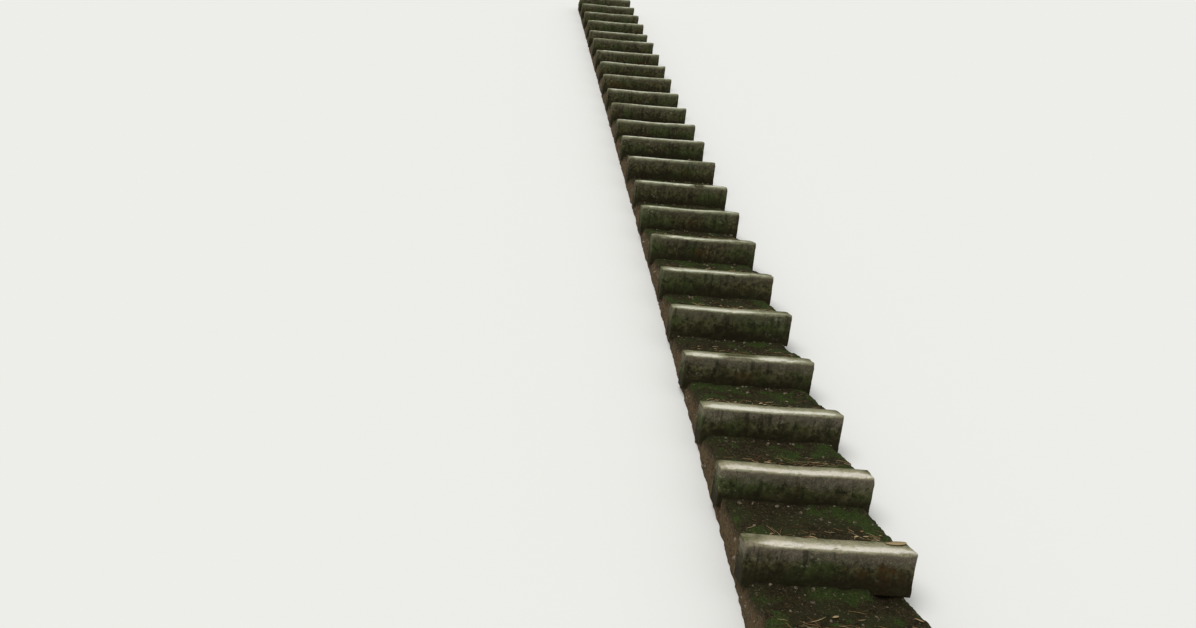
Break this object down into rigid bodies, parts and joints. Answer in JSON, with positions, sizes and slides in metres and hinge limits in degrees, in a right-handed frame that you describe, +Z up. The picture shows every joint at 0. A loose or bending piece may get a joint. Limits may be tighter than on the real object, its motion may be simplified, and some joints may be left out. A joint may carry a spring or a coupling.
{
  "type": "outdoor stone steps",
  "caption": "Straight hillside flight of steps: long kerb stones set on edge as risers, with packed earth and gravel treads behind them on a sloping bed.",
  "frame": {"origin": "on the sloping underside of the bed, plumb below the front face of the lowest kerb, on the centreline of the flight", "axes": "+X across the flight, +Y uphill, level, +Z up"},
  "size_m": [0.9304, 13.48, 5.1291],
  "materials": {
    "kerb_stone": "weathered pale stone, worn smooth and whitish along the nose, stained grey-brown on the face",
    "packed_earth": "packed brown earth with gravel, moss and straw litter, matt",
    "bed_gravel": "packed earth and gravel bedding, matt"
  },
  "bodies": {
    "root": {"kerb_01": "kerb_stone", "kerb_02": "kerb_stone", "kerb_03": "kerb_stone", "kerb_04": "kerb_stone", "kerb_05": "kerb_stone", "kerb_06": "kerb_stone", "kerb_07": "kerb_stone", "kerb_08": "kerb_stone", "kerb_09": "kerb_stone", "kerb_10": "kerb_stone", "kerb_11": "kerb_stone", "kerb_12": "kerb_stone", "kerb_13": "kerb_stone", "kerb_14": "kerb_stone", "kerb_15": "kerb_stone", "kerb_16": "kerb_stone", "kerb_17": "kerb_stone", "kerb_18": "kerb_stone", "kerb_19": "kerb_stone", "kerb_20": "kerb_stone", "kerb_21": "kerb_stone", "kerb_22": "kerb_stone", "kerb_23": "kerb_stone", "kerb_24": "kerb_stone", "tread_01": "packed_earth", "tread_02": "packed_earth", "tread_03": "packed_earth", "tread_04": "packed_earth", "tread_05": "packed_earth", "tread_06": "packed_earth", "tread_07": "packed_earth", "tread_08": "packed_earth", "tread_09": "packed_earth", "tread_10": "packed_earth", "tread_11": "packed_earth", "tread_12": "packed_earth", "tread_13": "packed_earth", "tread_14": "packed_earth", "tread_15": "packed_earth", "tread_16": "packed_earth", "tread_17": "packed_earth", "tread_18": "packed_earth", "tread_19": "packed_earth", "tread_20": "packed_earth", "tread_21": "packed_earth", "tread_22": "packed_earth", "tread_23": "packed_earth", "tread_24": "packed_earth", "foot_bed": "bed_gravel"}
  },
  "joints": []
}
